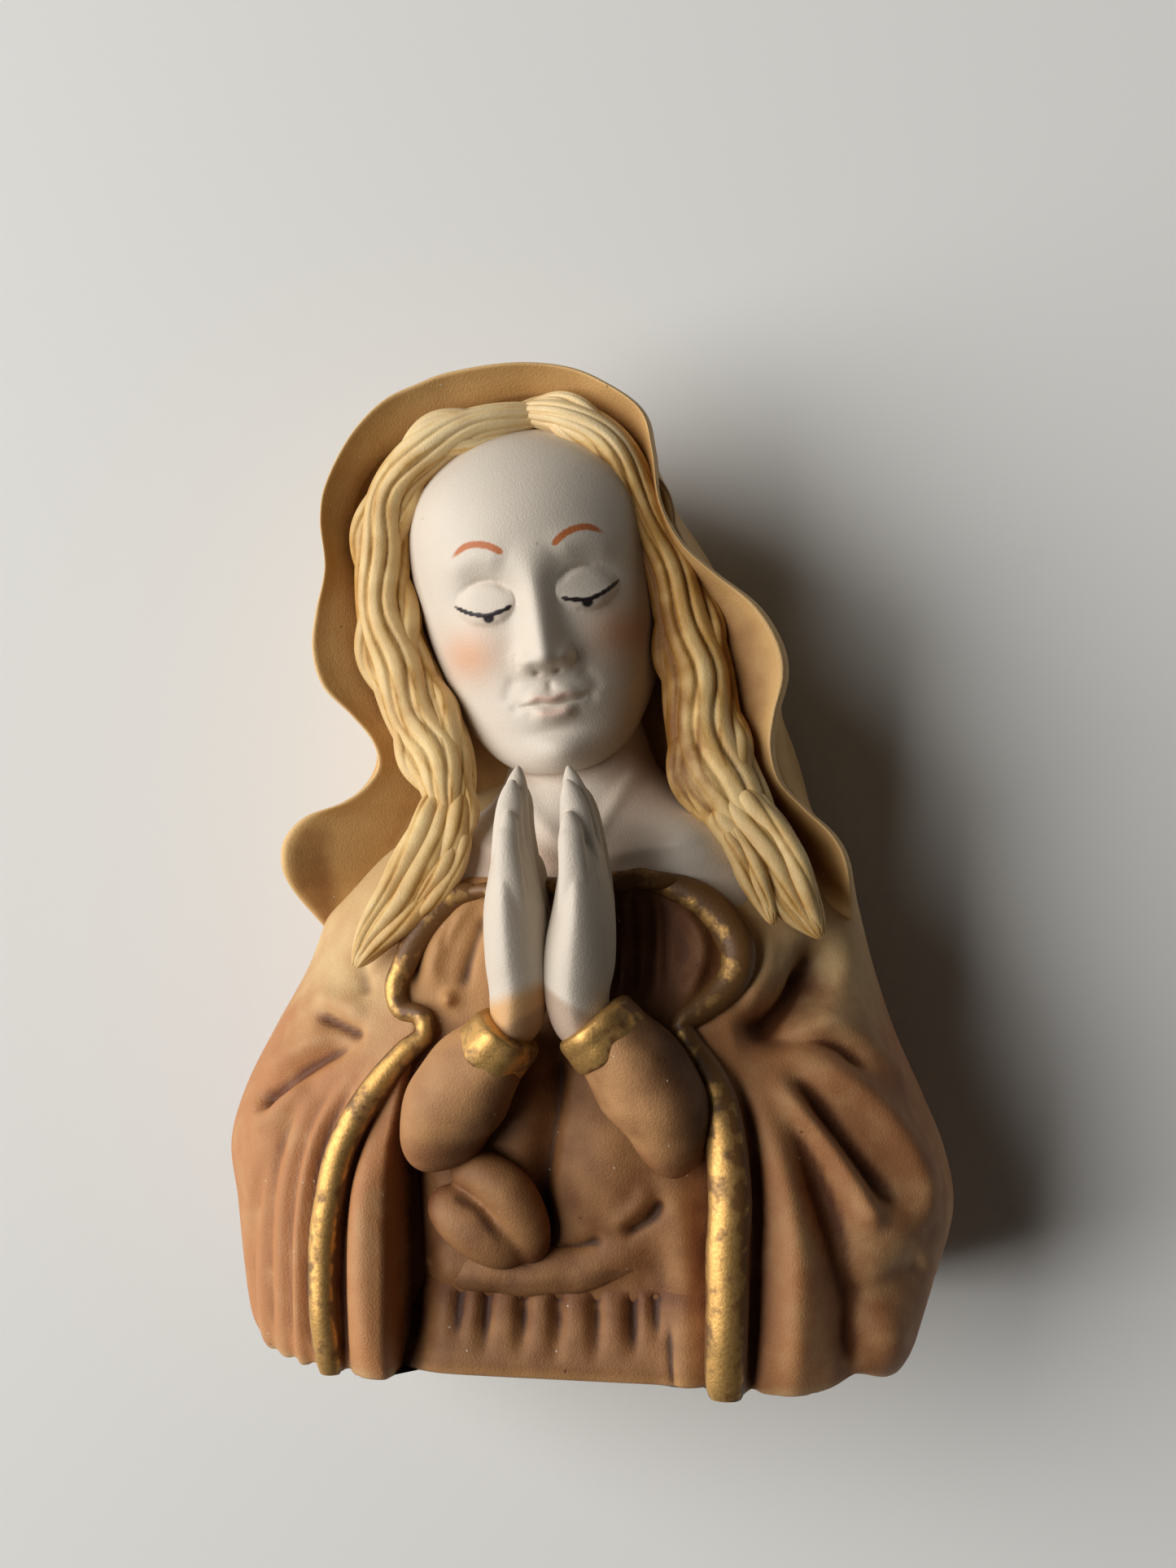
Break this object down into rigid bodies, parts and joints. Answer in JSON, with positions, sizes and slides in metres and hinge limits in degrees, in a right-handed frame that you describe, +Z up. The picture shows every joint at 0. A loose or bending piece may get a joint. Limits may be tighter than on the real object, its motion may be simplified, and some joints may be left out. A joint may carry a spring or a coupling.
{
  "type": "praying madonna bust",
  "caption": "Small hollow porcelain bust of a veiled woman with joined hands, painted in soft browns with gilded edges, standing on a flat foot.",
  "frame": {"origin": "middle of the foot's bounding box, on the surface it stands on", "axes": "+Z up, the figure faces -Y, +X to the right of a viewer in front of it"},
  "size_m": [0.0854, 0.052, 0.115],
  "materials": {
    "mantle_paint": "matt",
    "veil_paint": "matt",
    "bare_bisque": "matt",
    "hair_paint": "matt",
    "dress_paint": "matt",
    "gilding": "worn gold, satin"
  },
  "bodies": {
    "root": {"mantle_shell": "mantle_paint", "veil": "veil_paint", "head": "bare_bisque", "neck_bust": "bare_bisque", "hair_left": "hair_paint", "hair_right": "hair_paint", "shoulder_lock_left": "hair_paint", "shoulder_lock_right": "hair_paint", "dress_bodice": "dress_paint", "dress_skirt": "dress_paint", "belt": "dress_paint", "sash_knot": "dress_paint", "neckline_band": "gilding", "edge_left": "gilding", "edge_right": "gilding", "sleeve_left": "mantle_paint", "sleeve_right": "mantle_paint", "cuff_left": "gilding", "cuff_right": "gilding", "hand_left": "bare_bisque", "hand_right": "bare_bisque"}
  },
  "joints": []
}
